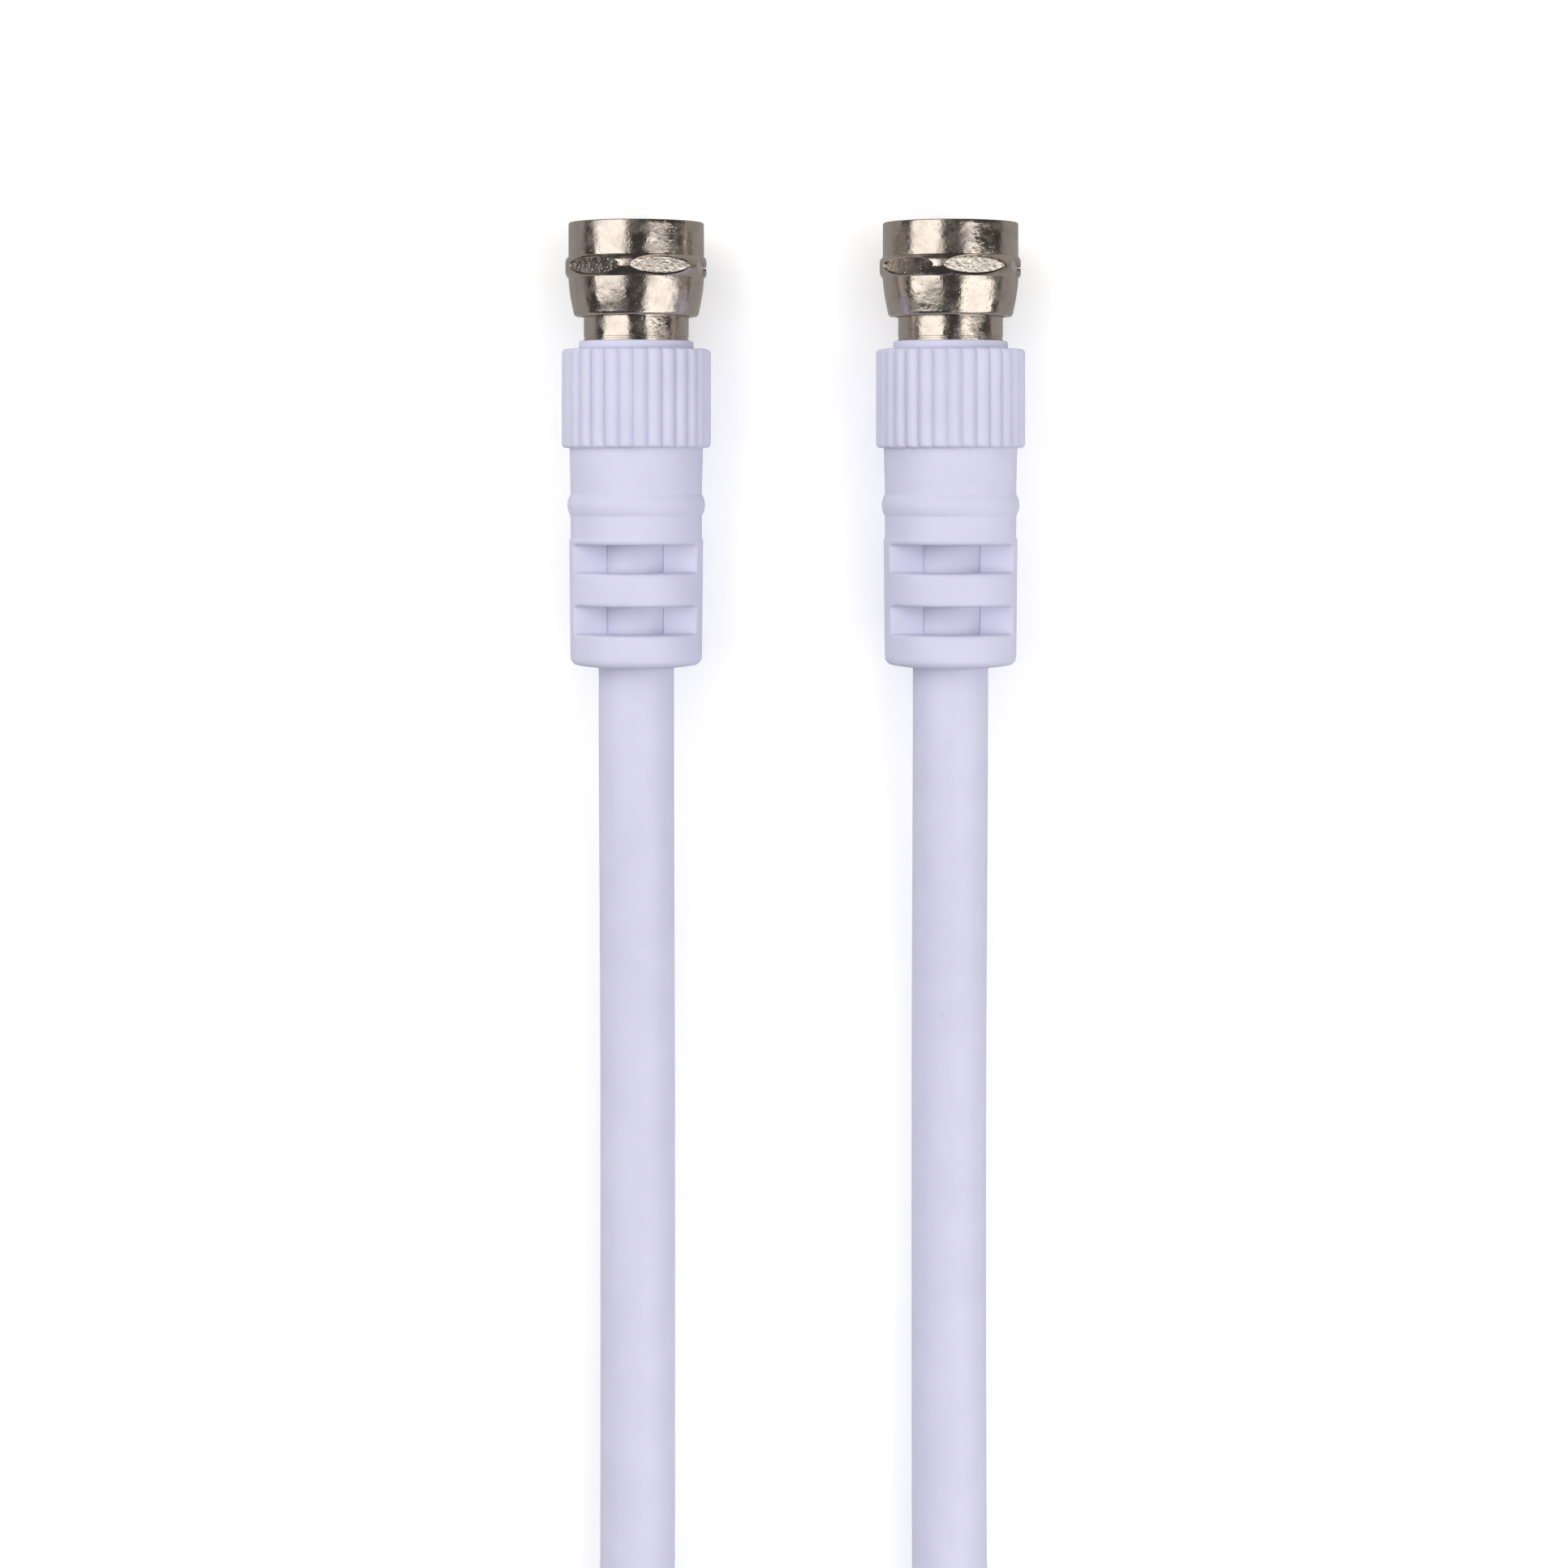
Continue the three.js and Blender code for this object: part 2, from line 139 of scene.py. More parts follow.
wall_finish, shader = soft_material("pale_wall")
shader.inputs["Base Color"].default_value = (0, 0, 0, 1)
shader.inputs["Emission Color"].default_value = (1.0, 0.995, 0.99, 1)
shader.inputs["Emission Strength"].default_value = WALL_BRIGHTNESS
bpy.ops.mesh.primitive_cylinder_add(vertices=96, radius=WALL_RADIUS, depth=FLOOR_SIZE, end_fill_type="NOTHING")
wall = bpy.context.object
wall.name = "wall"
wall.data.materials.append(wall_finish)
wall.visible_glossy = wall.visible_diffuse = wall.visible_transmission = wall.visible_shadow = False


def softbox(name, near, far, back, front, radiance, distance=0.65, slant=0):
    """A softbox between two angles from straight up, towards +x, and between two places in y; slant turns it flat."""
    angle, half = math.radians(near + far) / 2, math.radians(far - near) / 2
    light = bpy.data.lights.new(name, "AREA")
    light.shape = "RECTANGLE"
    light.size, light.size_y = abs(2 * distance * math.tan(half)), front - back
    light.energy = radiance * math.pi * light.size * light.size_y
    light.color = (1.0, 0.995, 0.985)
    box = bpy.data.objects.new(name, light)
    bpy.context.scene.collection.objects.link(box)
    box.location = (distance * math.sin(angle), (back + front) / 2, distance * math.cos(angle))
    box.rotation_euler = (Matrix.Rotation(angle, 3, "Y") @ Matrix.Rotation(math.radians(slant), 3, "Z")).to_euler()
    return box


softbox("softbox_left", -72, -17, -0.170, 0.90, 1.68)
softbox("softbox_right", 15, 72, -0.90, 0.041, 1.76, slant=-12)
fill = softbox("fill_above", -42, 48, -0.25, 1.15, 1.22, distance=0.9)
fill.visible_glossy = False

world = bpy.data.worlds.new("studio")
world.use_nodes = True
sky = world.node_tree
height = sky.nodes.new("ShaderNodeSeparateXYZ")
sky.links.new(sky.nodes.new("ShaderNodeTexCoord").outputs["Generated"], height.inputs[0])
horizon = sky.nodes.new("ShaderNodeMapRange")
sky.links.new(height.outputs["Z"], horizon.inputs[0])
for socket, number in zip(horizon.inputs[1:], (HORIZON_LOW, HORIZON_HIGH, GREY_BELOW, DARK_ABOVE)):
    socket.default_value = number
sky.links.new(horizon.outputs[0], sky.nodes["Background"].inputs["Strength"])
sky.nodes["Background"].inputs["Color"].default_value = (1.0, 0.98, 0.96, 1)
bpy.context.scene.world = world
bpy.context.scene.view_settings.view_transform = "Standard"

# %% [markdown]
# ## Short calls for node trees
# Both materials and Geometry Nodes are trees of small sums. Written out in full they hide the rule that they hold,
# so a small bench keeps the calls short: it adds a node, feeds it numbers or other nodes' results, and hands back
# its result.

# %% A bench for node trees
class Bench:
    """One node tree, with a short call for each kind of step."""

    def __init__(self, tree):
        self.tree = tree

    def node(self, kind, **settings):
        made = self.tree.nodes.new(kind)
        for name, value in settings.items():
            setattr(made, name, value)
        return made

    def feed(self, socket, value):
        if isinstance(value, bpy.types.NodeSocket):
            self.tree.links.new(value, socket)
        else:
            socket.default_value = value

    def sum(self, operation, *values):
        made = self.node("ShaderNodeMath", operation=operation)
        for socket, value in zip(made.inputs, values):
            self.feed(socket, value)
        return made.outputs[0]

    def noise(self, where, scale, detail=2.0, roughness=0.5):
        made = self.node("ShaderNodeTexNoise")
        self.feed(made.inputs["Vector"], where)
        made.inputs["Scale"].default_value = scale
        made.inputs["Detail"].default_value = detail
        made.inputs["Roughness"].default_value = roughness
        return made.outputs["Fac"]

    def span(self, value, low, high, to_low, to_high):
        made = self.node("ShaderNodeMapRange")
        for socket, number in zip(made.inputs, (value, low, high, to_low, to_high)):
            self.feed(socket, number)
        return made.outputs[0]

    def blend(self, share, first, second):
        made = self.node("ShaderNodeMix", data_type="RGBA")
        self.feed(made.inputs[0], share)
        self.feed(made.inputs[6], (*first, 1) if isinstance(first, tuple) else first)
        self.feed(made.inputs[7], (*second, 1) if isinstance(second, tuple) else second)
        return made.outputs[2]

    def stretch(self, where, scale):
        made = self.node("ShaderNodeMapping")
        self.feed(made.inputs["Vector"], where)
        made.inputs["Scale"].default_value = scale
        return made.outputs["Vector"]

    def bump(self, height, strength, distance, onto=None):
        made = self.node("ShaderNodeBump")
        self.feed(made.inputs["Height"], height)
        made.inputs["Strength"].default_value = strength
        made.inputs["Distance"].default_value = distance
        if onto is not None:
            self.feed(made.inputs["Normal"], onto)
        return made.outputs["Normal"]


def finish_bench(name):
    """A new material, its shader, its bench and its Object coordinates."""
    material, shader = soft_material(name)
    bench = Bench(material.node_tree)
    where = bench.node("ShaderNodeTexCoord").outputs["Object"]
    return material, shader, bench, where


print("the bench is ready")

# %% [markdown]
# ## White moulded plastic
# The boots are moulded in a soft white plastic with a cool, slightly violet cast. It isn't quite even: the colour
# drifts a little over a few millimetres, the skin has a fine grain from the mould, and a few tiny dark specks sit
# in it. Noise in Object coordinates makes all of it, so the pattern stays on the plug from every side.

# %% Finish: white plastic
DRIFT_SCALE, SPECK_SCALE, GRAIN_SCALE = 260, 1500, 9000
SPECK_COLOUR = (0.30, 0.28, 0.27)


def white_plastic(name, pale, shade, roughness, grain):
    material, shader, bench, where = finish_bench(name)
    drift = bench.noise(where, DRIFT_SCALE, detail=3)
    colour = bench.blend(bench.span(drift, 0.35, 0.65, 0, 1), pale, shade)
    speck = bench.span(bench.noise(where, SPECK_SCALE, detail=1), 0.80, 0.86, 0, 0.5)
    colour = bench.blend(speck, colour, SPECK_COLOUR)
    bench.feed(shader.inputs["Base Color"], colour)
    fine = bench.noise(where, GRAIN_SCALE, detail=2)
    bench.feed(shader.inputs["Roughness"], bench.span(fine, 0.3, 0.7, roughness - 0.06, roughness + 0.06))
    skin = bench.bump(fine, grain, 0.00002)
    bench.feed(shader.inputs["Normal"], bench.bump(drift, 0.25, 0.0002, onto=skin))
    shader.inputs["IOR"].default_value = 1.46
    return material


boot_white = white_plastic("boot_white", (0.60, 0.60, 0.755), (0.575, 0.575, 0.73), 0.48, 0.35)
jacket_white = white_plastic("jacket_white", (0.60, 0.60, 0.75), (0.575, 0.575, 0.725), 0.42, 0.2)
foam_white = white_plastic("foam_white", (0.86, 0.86, 0.83), (0.80, 0.80, 0.77), 0.6, 0.8)
tie_white = white_plastic("tie_white", (0.82, 0.82, 0.84), (0.78, 0.78, 0.80), 0.38, 0.2)
print("white finishes:", boot_white.name, jacket_white.name, foam_white.name, tie_white.name)

# %% [markdown]
# ## Nickel plating
# The nut and the post are turned brass with a thin, bright nickel plating. On such cheap plating the reflection is
# never clean: it wobbles over a millimetre or two, it has dull patches, small pits and faint turning marks round
# the axis. The base colour stays nearly even, and roughness and bump carry all of that.

# %% Finish: nickel
PATCH_SCALE, PIT_SCALE = 700, 2600
TURNING_SCALE, WAVE_SCALE = (60, 9000, 60), (420, 300, 420)


def nickel_plate(name, pale, shade, smooth, dull, wobble):
    material, shader, bench, where = finish_bench(name)
    shader.inputs["Metallic"].default_value = 1.0
    patch = bench.noise(where, PATCH_SCALE, detail=4, roughness=0.65)
    colour = bench.blend(bench.span(patch, 0.4, 0.7, 0, 1), pale, shade)
    bench.feed(shader.inputs["Base Color"], colour)
    bench.feed(shader.inputs["Roughness"], bench.span(patch, 0.38, 0.66, smooth, dull))
    pits = bench.node("ShaderNodeTexVoronoi", feature="F1")
    bench.feed(pits.inputs["Vector"], where)
    pits.inputs["Scale"].default_value = PIT_SCALE
    pit = bench.span(pits.outputs["Distance"], 0.0, 0.22, 0, 1)
    turning = bench.noise(bench.stretch(where, TURNING_SCALE), 1.0, detail=2)
    wave = bench.noise(bench.stretch(where, WAVE_SCALE), 1.0, detail=2)
    first = bench.bump(wave, wobble, 0.0004)
    second = bench.bump(pit, 0.35, 0.00003, onto=first)
    third = bench.bump(bench.noise(where, PIT_SCALE, detail=4), 0.22, 0.00008, onto=second)
    bench.feed(shader.inputs["Normal"], bench.bump(turning, 0.10, 0.00002, onto=third))
    return material


nickel = nickel_plate("nickel_plate", (0.60, 0.53, 0.465), (0.53, 0.47, 0.415), 0.12, 0.32, 0.26)
facet_nickel = nickel_plate("frosted_nickel", (0.61, 0.55, 0.485), (0.52, 0.465, 0.415), 0.10, 0.22, 0.05)
wire_metal = nickel_plate("drawn_wire", (0.86, 0.66, 0.46), (0.78, 0.58, 0.40), 0.18, 0.32, 0.15)
print("metal finishes:", nickel.name, facet_nickel.name, wire_metal.name)

# %% [markdown]
# ## Turned skins
# Every piece of a plug is round, so one helper makes them all: it takes rows of points round an axis and closes
# them into a skin. The work is done in millimetres on an axis through the origin, as on a lathe, because Booleans
# are surer there than in thousandths of a metre, and the finished mesh is then shrunk and put in its plug's place.

# %% Lathe helpers
def ring_of(along, radius, angles):
    """One row of points round the axis; angles run from straight up towards +x."""
    return np.stack([radius * np.sin(angles), np.full_like(angles, along), radius * np.cos(angles)], 1)


def skin(name, rows, wrap=False):
    """An object whose skin passes through rows of points; wrap joins the last row to the first."""
    points = np.array(rows)
    count, columns = points.shape[:2]
    faces = []
    for i in range(count if wrap else count - 1):
        below, above = i * columns, ((i + 1) % count) * columns
        for j in range(columns):
            k = (j + 1) % columns
            faces.append((below + j, below + k, above + k, above + j))
    mesh = bpy.data.meshes.new(name)
    mesh.from_pydata(points.reshape(-1, 3).tolist(), [], faces)
    shape = bmesh.new()
    shape.from_mesh(mesh)
    bmesh.ops.remove_doubles(shape, verts=shape.verts, dist=1e-5)
    bmesh.ops.recalc_face_normals(shape, faces=shape.faces)
    shape.to_mesh(mesh)
    shape.free()
    made = bpy.data.objects.new(name, mesh)
    bpy.context.scene.collection.objects.link(made)
    return made


def turned(name, outline, columns=128, start=0.0, wrap=True):
    """A skin turned from an outline of (place along the axis, radius)."""
    angles = start + np.arange(columns) * 2 * math.pi / columns
    return skin(name, [ring_of(along, radius, angles) for along, radius in outline], wrap)


def quarter(corner, radius, start, steps=5):
    """A quarter round about a centre (along, radius), from a start angle in degrees measured from outwards."""
    turn = [math.radians(start + 90 * i / steps) for i in range(steps + 1)]
    return [(corner[0] + radius * math.sin(a), corner[1] + radius * math.cos(a)) for a in turn]


def cut_away(piece, cutter):
    """Takes the cutter's solid out of the piece."""
    knife = piece.modifiers.new("cut", "BOOLEAN")
    knife.operation = "DIFFERENCE"
    knife.solver = "EXACT"
    knife.material_mode = "TRANSFER"
    knife.object = cutter
    plain(piece)
    bpy.data.objects.remove(cutter)


def plain(piece):
    """The piece's modifiers, made into its plain mesh."""
    graph = bpy.context.evaluated_depsgraph_get()
    mesh = bpy.data.meshes.new_from_object(piece.evaluated_get(graph))
    piece.modifiers.clear()
    old, piece.data = piece.data, mesh
    bpy.data.meshes.remove(old)


def put_in_place(piece, letter, body, nodes, crease=35):
    """Shrinks a finished piece from millimetres, moves its mesh to its plug, hangs it on its body and hides its
    solids.
    """
    piece.data.transform(Matrix.Translation(PLACE[letter]) @ Matrix.Scale(MM, 4))
    piece.data.shade_smooth()
    piece.data.set_sharp_from_angle(angle=math.radians(crease))
    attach(piece, body)
    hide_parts(*nodes)
    low, high = (Vector(corner) for corner in (piece.bound_box[0], piece.bound_box[6]))
    print(piece.name, "faces", len(piece.data.polygons), "size", [round(v / MM, 2) for v in high - low], "mm")


# %% [markdown]
# ## The cable's way
# The cable is one fixed length, about a metre and a half from tip to tip. The photograph shows its two ends running
# straight back. The rest is put away as for storage: five and a half turns wound on top of each other, just outside
# the picture, held by two ties. A real coil is wound one turn at a time, and each turn lies on what is already
# there. The script winds it in the same way: it plans how far each turn is from the middle, and then lets every
# point of it come to rest on the turns below.

# %% Winding plan
CABLE = 6.5
COIL_RADIUS = 32.6
TURN_PITCH = 6.55
COIL_Y = -157.0
LIFT = 0.9
LEAD_SHIFT = 3.0
BEND_Y = -97.0
AXIS_X = abs(PLACE["a"].x) / MM
STEP = 6
FIRST_ANGLE, LAST_ANGLE = 132, 2202
OUTER = COIL_RADIUS + TURN_PITCH

# The angle at which a shift sideways starts and ends, and the radius that it ends at
SHIFTS = (
    (290, 490, COIL_RADIUS), (650, 850, COIL_RADIUS - TURN_PITCH), (1010, 1210, COIL_RADIUS - TURN_PITCH / 2),
    (1340, 1560, COIL_RADIUS + TURN_PITCH / 2), (1650, 1770, COIL_RADIUS), (1925, 2030, OUTER),
    (2040, 2160, OUTER + LEAD_SHIFT),
)


def eased(share):
    share = min(max(share, 0), 1)
    return share * share * (3 - 2 * share)


def lead_bend(end_radius):
    """The turn and the radius of the two equal arcs that bring a lead from its plug out to the coil."""
    turn = 2 * math.atan2(end_radius - AXIS_X, BEND_Y - COIL_Y)
    return turn, (BEND_Y - COIL_Y) / (2 * math.sin(turn))


def winding_radius(angle):
    """How far the cable is from the coil's middle; the two leads' arcs join it without a kink."""
    if angle < 180:
        bend, turn = lead_bend(OUTER)[1], math.radians(angle)
        offset = bend - OUTER
        return offset * math.cos(turn) + math.sqrt(bend ** 2 - (offset * math.sin(turn)) ** 2)
    if angle > 2160:
        bend, turn = lead_bend(OUTER + LEAD_SHIFT)[1], math.radians(angle - 2160)
        offset = bend - OUTER - LEAD_SHIFT
        return -offset * math.cos(turn) + math.sqrt(bend ** 2 - (offset * math.sin(turn)) ** 2)
    radius = OUTER
    for start, end, to in SHIFTS:
        radius += (to - radius) * eased((angle - start) / (end - start))
    return radius


winding_angles = np.arange(FIRST_ANGLE, LAST_ANGLE + 1, STEP)
winding_radii = np.array([winding_radius(angle) for angle in winding_angles])
print("winding points:", len(winding_angles), "radii", winding_radii.min().round(2), winding_radii.max().round(2))

# %% [markdown]
# The heights come from one rule. Where a turn crosses or lies beside an earlier one and is closer than a cable's
# thickness seen from above, it has to rise until their surfaces just touch. A cable is too stiff to follow that
# step by step, so each height is the smooth average of what the points round it need.

# %% Lay the turns on each other
GROUND = LIFT + CABLE / 2
PER_TURN = 360 // STEP
heights = np.zeros(len(winding_angles))


def needed_height(i):
    """The lowest height at which point i clears all earlier turns."""
    i = min(max(i, 0), len(heights) - 1)
    best = GROUND
    for k in range(i - PER_TURN, -1, -PER_TURN):
        apart = abs(winding_radii[i] - winding_radii[k])
        if apart < CABLE:
            best = max(best, heights[k] + math.sqrt(CABLE ** 2 - apart ** 2))
    return best


SPREAD = 4
WEIGHTS = [1 - abs(j) / (SPREAD + 1) for j in range(-SPREAD, SPREAD + 1)]
for i in range(len(heights)):
    reach = [max(needed_height(i + j + k) for k in (-1, 0, 1)) for j in range(-SPREAD, SPREAD + 1)]
    heights[i] = np.dot(reach, WEIGHTS) / sum(WEIGHTS)

turns = np.radians(winding_angles)
winding = np.stack([winding_radii * np.cos(turns), COIL_Y + winding_radii * np.sin(turns), heights], 1)
print("the coil is", round(heights.max() + CABLE / 2, 1), "mm high")

# %% [markdown]
# Between a plug and the coil, a lead leaves the boot level, sinks to the ground under its own weight and then bends
# out to the coil in an even arc. The heights repeat those of the solids. Lead b ends on top of the coil, so it
# comes down in a long slope.

# %% The two leads
# Distance back from the boot and height of the cable's middle
HEIGHTS_A = (
    (-13, 6.43), (-1, 6.43), (8, 6.2), (17, 5.3), (26, 4.2), (35, 3.5), (45, 3.3), (60, 3.3), (72, 3.4), (79, 3.6),
    (86, 3.8), (92, 4.0), (97, 4.1), (113, 4.15),
)
HEIGHTS_B = (
    (-13, 6.43), (-1, 6.43), (8, 6.2), (17, 5.3), (26, 4.2), (35, 3.5), (45, 3.3), (60, 3.4), (72, 3.9), (79, 4.4),
    (86, 5.0), (92, 5.6), (97, 6.2), (106, 6.9), (113, 7.4),
)
DEPTH_IN_BOOT = 12.3
REAR_Y = PLACE["a"].y / MM


def lead(letter, end_radius, table):
    """A lead's points from inside the boot to the middle of its S, in millimetres."""
    turn, bend = lead_bend(end_radius)
    straight = REAR_Y - BEND_Y
    backs = list(np.arange(-DEPTH_IN_BOOT, straight - 2, 2.4))
    points = [(AXIS_X, REAR_Y - back) for back in backs]
    for angle in np.linspace(0, turn, 12)[:-1]:
        points.append((AXIS_X + bend * (1 - math.cos(angle)), BEND_Y - bend * math.sin(angle)))
    fine = np.linspace(-16, 120, 545)
    curve = np.interp(fine, *zip(*table))
    for _ in range(3):
        curve = np.convolve(np.pad(curve, 8, mode="edge"), np.ones(17) / 17, mode="valid")
    return np.array([(SIDE[letter] * x, y, np.interp(REAR_Y - y, fine, curve)) for x, y in points])


lead_a = lead("a", OUTER, HEIGHTS_A)
lead_b = lead("b", OUTER + LEAD_SHIFT, HEIGHTS_B)
route = np.concatenate([lead_a, winding, lead_b[::-1]])
for _ in range(2):
    route[1:-1, 2] = (route[:-2, 2] + 2 * route[1:-1, 2] + route[2:, 2]) / 4
route_length = np.linalg.norm(np.diff(route, axis=0), axis=1).sum()
print("route:", len(route), "points,", round(route_length / 1000, 3), "m")

# %% [markdown]
# ## The cable
# A coaxial jacket is extruded: a round tube of the same thickness all the way. The mesh follows the route with one
# ring of points for each point of the route. Every ring stands upright on the path, so the tube doesn't twist, and
# its UV map runs round and along it, in case a finish has to follow the cable.

# %% Cable mesh
CABLE_SIDES = 36


def tube(name, path, radius, sides):
    """A closed tube along a path, with a UV map that runs round it and along it."""
    ahead = np.gradient(path, axis=0)
    ahead /= np.linalg.norm(ahead, axis=1)[:, None]
    across = np.cross(ahead, (0, 0, 1))
    across /= np.linalg.norm(across, axis=1)[:, None]
    upright = np.cross(across, ahead)
    turn = np.arange(sides) * 2 * math.pi / sides
    rings = path[:, None] + radius * (
        across[:, None] * np.cos(turn)[None, :, None] + upright[:, None] * np.sin(turn)[None, :, None]
    )
    tucked = 0.9 * rings + 0.1 * path[:, None]
    rows = [tucked[0], *rings, tucked[-1]]
    made = skin(name, rows)
    shape = bmesh.new()
    shape.from_mesh(made.data)
    bmesh.ops.holes_fill(shape, edges=shape.edges, sides=sides)
    bmesh.ops.recalc_face_normals(shape, faces=shape.faces)
    shape.to_mesh(made.data)
    shape.free()
    return made


def map_along(piece, path):
    """A UV map: u round the tube, v along it in metres."""
    steps = np.linalg.norm(np.diff(path, axis=0), axis=1)
    along = np.concatenate([[0, 0], np.cumsum(steps), [steps.sum()]])
    layer = piece.data.uv_layers.new(name="along_the_cable")
    sides = len(piece.data.vertices) // len(along)
    for face in piece.data.polygons:
        around = [piece.data.loops[i].vertex_index % sides for i in face.loop_indices]
        seam = max(around) - min(around) > sides / 2
        for i, place in zip(face.loop_indices, around):
            row = piece.data.loops[i].vertex_index // sides
            layer.data[i].uv = ((place + (sides if seam and place == 0 else 0)) / sides, along[row] * MM)


cable = tube("cable", route, CABLE / 2, CABLE_SIDES)
map_along(cable, route)
cable.data.transform(Matrix.Scale(MM, 4))
cable.data.shade_smooth()
cable.data.materials.append(jacket_white)
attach(cable, "lead")
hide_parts("cable_run_a", "cable_run_b", "cable_coil")
print("cable faces:", len(cable.data.polygons))

# %% [markdown]
# ## The ties
# Two white twist ties hold the turns together: a flat plastic ribbon with a wire in it goes once round the bundle
# and its two ends are twisted together on the outside. The ribbon is pulled tight, so in section it follows the
# outer edge of the turns as a rubber band would. That is the convex outline of the cable's circles there.

# %% Ribbon round the turns
RIBBON_WIDTH = 3.6
RIBBON_THICKNESS = 0.5
RIBBON_GAP = 0.06


def outline_round(circles, radius):
    """The convex outline of equal circles, as points in order round it."""
    turn = np.arange(0, 2 * math.pi, math.pi / 32)
    cloud = np.concatenate([np.array(c) + radius * np.stack([np.cos(turn), np.sin(turn)], 1) for c in circles])
    cloud = cloud[np.lexsort((cloud[:, 1], cloud[:, 0]))]

    def chain(points):
        kept = []
        for p in points:
            while len(kept) > 1 and np.cross(kept[-1] - kept[-2], p - kept[-2]) <= 1e-9:
                kept.pop()
            kept.append(p)
        return kept[:-1]

    return np.array(chain(cloud) + chain(cloud[::-1]))


def strands_at(side):
    """Where the coil's turns pass x = 0 on one side of the coil, as (y, z)."""
    found = []
    for p, q in zip(route[:-1], route[1:]):
        if p[0] * q[0] <= 0 and p[1] < BEND_Y and (p[1] - COIL_Y) * side > 0:
            share = p[0] / (p[0] - q[0])
            found.append(tuple((p + (q - p) * share)[1:]))
    return found


def ribbon(name, side):
    """The tie's ribbon, a closed band round the turns on one side of the coil."""
    circles = strands_at(side)
    inner = outline_round(circles, CABLE / 2 + RIBBON_GAP)
    outer = outline_round(circles, CABLE / 2 + RIBBON_GAP + RIBBON_THICKNESS)
    spots = np.linspace(0, 1, 97)[:-1]

    def spaced(line):
        line = np.vstack([line, line[:1]])
        steps = np.concatenate([[0], np.cumsum(np.linalg.norm(np.diff(line, axis=0), axis=1))])
        steps /= steps[-1]
        return np.stack([np.interp(spots, steps, line[:, axis]) for axis in (0, 1)], 1)

    inner, outer = spaced(inner), spaced(outer)
    half, lip = RIBBON_WIDTH / 2, 0.15
    middle = (inner + outer) / 2
    rows = []
    for x, line in (
        (-half, inner), (-half, 0.35 * inner + 0.65 * outer), (-half + lip, outer), (-0.5, outer),
        (0, outer + (outer - middle) * 0.5), (0.5, outer), (half - lip, outer),
        (half, 0.35 * inner + 0.65 * outer), (half, inner), (0, inner),
    ):
        rows.append(np.column_stack([np.full(len(line), x), line]))
    print(name, "holds", len(circles), "turns")
    return skin(name, rows, wrap=True), outer


# %% [markdown]
# The twisted ends are two thin ribbons round each other. Geometry Nodes make them from a rule: a short straight
# line is resampled, each of its points is turned a little further round the line, and a small flat outline follows
# the result. Two copies half a turn apart make the twist.

# %% Geometry Nodes: the twisted ends
def new_tree(name, sizes):
    """A Geometry Nodes tree with named sizes, its bench, its inputs and its output node."""
    tree = bpy.data.node_groups.new(name, "GeometryNodeTree")
    tree.interface.new_socket("Geometry", in_out="INPUT", socket_type="NodeSocketGeometry")
    for label, kind in sizes.items():
        tree.interface.new_socket(label, in_out="INPUT", socket_type="NodeSocket" + kind)
    tree.interface.new_socket("Geometry", in_out="OUTPUT", socket_type="NodeSocketGeometry")
    bench = Bench(tree)
    return tree, bench, bench.node("NodeGroupInput").outputs, bench.node("NodeGroupOutput")


def close_tree(bench, geometry, material, output):
    """Ends a tree with Realize Instances and Set Material."""
    real = bench.node("GeometryNodeRealizeInstances")
    bench.feed(real.inputs[0], geometry)
    dressed = bench.node("GeometryNodeSetMaterial")
    bench.feed(dressed.inputs["Geometry"], real.outputs[0])
    bench.feed(dressed.inputs["Material"], material)
    bench.feed(output.inputs[0], dressed.outputs[0])


def run_tree(piece, tree, **values):
    """Runs a tree on a piece with its inputs set by their identifiers, and keeps the plain result."""
    step = piece.modifiers.new(tree.name, "NODES")
    step.node_group = tree
    for item in tree.interface.items_tree:
        label = item.name.replace(" ", "_").lower()
        if item.in_out == "INPUT" and label in values:
            step[item.identifier] = values[label]
    plain(piece)


